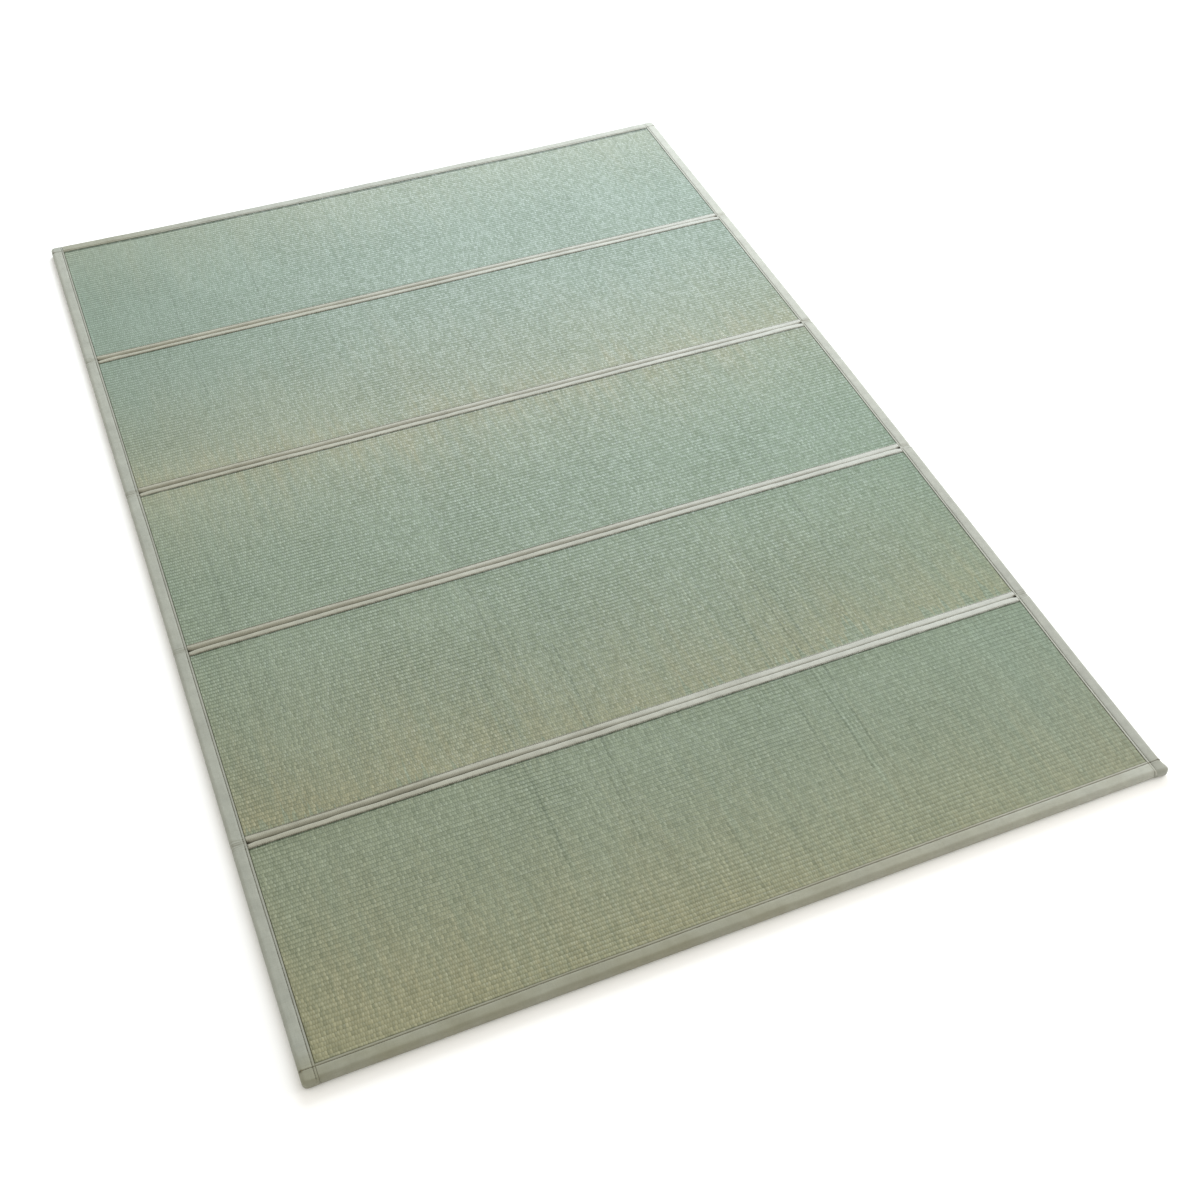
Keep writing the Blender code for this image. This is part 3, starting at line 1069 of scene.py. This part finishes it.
def binding_relief(grid, settings, seed, behind, closed):
    """How far each point of a binding's outer face stands out, and its painted shade.

    The face has a sewn groove with a lip beside it, puckers, and soft swells.
    """
    along, inward, z = grid[..., 0], -grid[..., 1], grid[..., 2]
    top = smooth(z, MIDDLE, THICKNESS - 3 * MM)
    seam = binding_seam(along, settings, seed)
    groove = bump(inward, seam, 0.7 * MM)
    lip = smooth(inward, seam + 0.2 * MM, seam + 0.9 * MM) * (0.8 + 0.4 * ripple(along, 0.03, seed + 1))
    pucker = ripple(along, 0.0105, seed + 2, 2) * smooth(inward, 1 * MM, seam - 1 * MM)
    swell = ripple(along, 0.09, seed + 3) * smooth(inward, seam, seam - 4 * MM)
    relief = top * (-0.6 * groove + 0.25 * lip + 0.2 * pucker + 0.25 * swell) * MM
    patchy = 0.75 + 0.35 * ripple(along, 0.04, seed + 4)
    # Painted shade in the sewn groove, deeper on the back strip where the fold is open
    soil = 0.4 * top * groove * patchy * (1 + 1.4 * behind * (1 - closed))
    # Painted shade on the back strip, darker towards the fold's groove where the fold is open
    if behind:
        soil += (0.15 - 0.12 * closed) * smooth(inward, 7 * MM, 2 * MM)
        soil += (0.6 - 0.45 * closed) * smooth(inward, 2.5 * MM, 0.7 * MM)
    else:
        # Painted shadow along the front strip's free edge
        edge = smooth(inward, BINDING_WIDTH - 1.2 * MM, BINDING_WIDTH - 0.3 * MM)
        soil += (1.3 - 0.5 * closed) * edge * patchy
    # Painted shade near the ends, by the holes where the folds meet the tapes
    to_end = INSIDE_X - np.abs(along)
    soil += 1.2 * smooth(to_end, 7 * MM, 1.5 * MM) * smooth(inward, 4.5 * MM, 1.5 * MM)
    return relief, soil


class RUSHMAT_OT_studio(bpy.types.Operator):
    """Sets the floor, the lights and the camera"""

    bl_idname = "rushmat.studio"
    bl_label = "Studio"

    def execute(self, context):
        settings = context.scene.rush_mat_studio
        self.floor(settings)
        self.lights(context, settings)
        self.camera(context, settings)
        return {"FINISHED"}

    def floor(self, settings):
        made = Finish("pale floor")
        tone = 0.985 + 0.03 * (made.cloud(made.x * 0.8, made.y * 0.8) - 0.5)
        colour = made.shade(settings.floor, tone)
        mesh = bpy.data.meshes.new("floor")
        work = bmesh.new()
        bmesh.ops.create_grid(work, x_segments=24, y_segments=24, size=14)
        work.to_mesh(mesh)
        work.free()
        mesh.materials.append(made.finish(Base_Color=colour, Roughness=0.9, Specular_IOR_Level=0.1))
        floor = bpy.data.objects.new("floor", mesh)
        floor.location.z = -0.0001
        bpy.context.scene.collection.objects.link(floor)

    def lights(self, context, settings):
        world = bpy.data.worlds.new("studio")
        world.use_nodes = True
        sky = world.node_tree.nodes["Background"]
        sky.inputs["Color"].default_value = (1.0, 0.975, 0.915, 1)
        sky.inputs["Strength"].default_value = settings.sky
        context.scene.world = world
        self.soft_light(
            context, "window", (1.6, 3.7, 2.5), (3.6, 2.6), settings.window, (0.83, 0.92, 1.0)
        )
        self.soft_light(
            context, "side_window", (3.2, -0.6, 1.5), (3.0, 1.4), settings.side, (1.0, 0.98, 0.94)
        )
        context.scene.view_settings.view_transform = "Standard"

    def soft_light(self, context, name, place, size, power, colour):
        data = bpy.data.lights.new(name, "AREA")
        data.shape = "RECTANGLE"
        data.size, data.size_y = size
        data.energy = power
        data.color = colour
        light = bpy.data.objects.new(name, data)
        light.location = place
        light.rotation_euler = Vector(place).to_track_quat("Z", "Y").to_euler()
        context.scene.collection.objects.link(light)

    def camera(self, context, settings):
        data = bpy.data.cameras.new("camera")
        data.sensor_width = 36
        data.lens = settings.lens
        data.shift_x, data.shift_y = CAMERA_SHIFT
        camera = bpy.data.objects.new("camera", data)
        pan, tilt, roll = (math.radians(angle) for angle in CAMERA_TURN)
        ahead = Vector((math.cos(tilt) * math.sin(pan), math.cos(tilt) * math.cos(pan), math.sin(tilt)))
        level = Vector((math.cos(pan), -math.sin(pan), 0))
        upright = level.cross(ahead)
        right = math.cos(roll) * level + math.sin(roll) * upright
        up = math.cos(roll) * upright - math.sin(roll) * level
        axes = Matrix((right, up, -ahead)).transposed().to_4x4()
        camera.matrix_world = Matrix.Translation(CAMERA_PLACE) @ axes
        context.scene.collection.objects.link(camera)
        context.scene.camera = camera


class RUSHMAT_PT_sidebar(bpy.types.Panel):
    """Lists the mat's pieces and the stage"""

    bl_idname = "RUSHMAT_PT_sidebar"
    bl_label = "Rush mat"
    bl_space_type = "VIEW_3D"
    bl_region_type = "UI"
    bl_category = "Rush mat"

    def draw(self, context):
        for operator, group in STEPS:
            box = self.layout.box()
            settings = getattr(context.scene, group)
            for name in settings.__annotations__:
                box.prop(settings, name)
            box.operator(operator.bl_idname)


STEPS = (
    (RUSHMAT_OT_studio, "rush_mat_studio"),
    (RUSHMAT_OT_rush_panels, "rush_mat_rush"),
    (RUSHMAT_OT_edge_tapes, "rush_mat_tape"),
    (RUSHMAT_OT_fold_bindings, "rush_mat_binding"),
)
GROUPS = {
    "rush_mat_studio": StudioSettings,
    "rush_mat_rush": RushSettings,
    "rush_mat_tape": TapeSettings,
    "rush_mat_binding": BindingSettings,
    "rush_mat_thread": ThreadSettings,
}
CLASSES = (*GROUPS.values(), *(operator for operator, _ in STEPS), RUSHMAT_PT_sidebar)


def register():
    for made in CLASSES:
        bpy.utils.register_class(made)
    for name, group in GROUPS.items():
        setattr(bpy.types.Scene, name, bpy.props.PointerProperty(type=group))


def unregister():
    for name in GROUPS:
        delattr(bpy.types.Scene, name)
    for made in reversed(CLASSES):
        bpy.utils.unregister_class(made)


def main():
    register()
    bpy.ops.rushmat.studio()
    bpy.ops.rushmat.rush_panels()
    bpy.ops.rushmat.edge_tapes()
    bpy.ops.rushmat.fold_bindings()


if __name__ == "__main__":
    main()
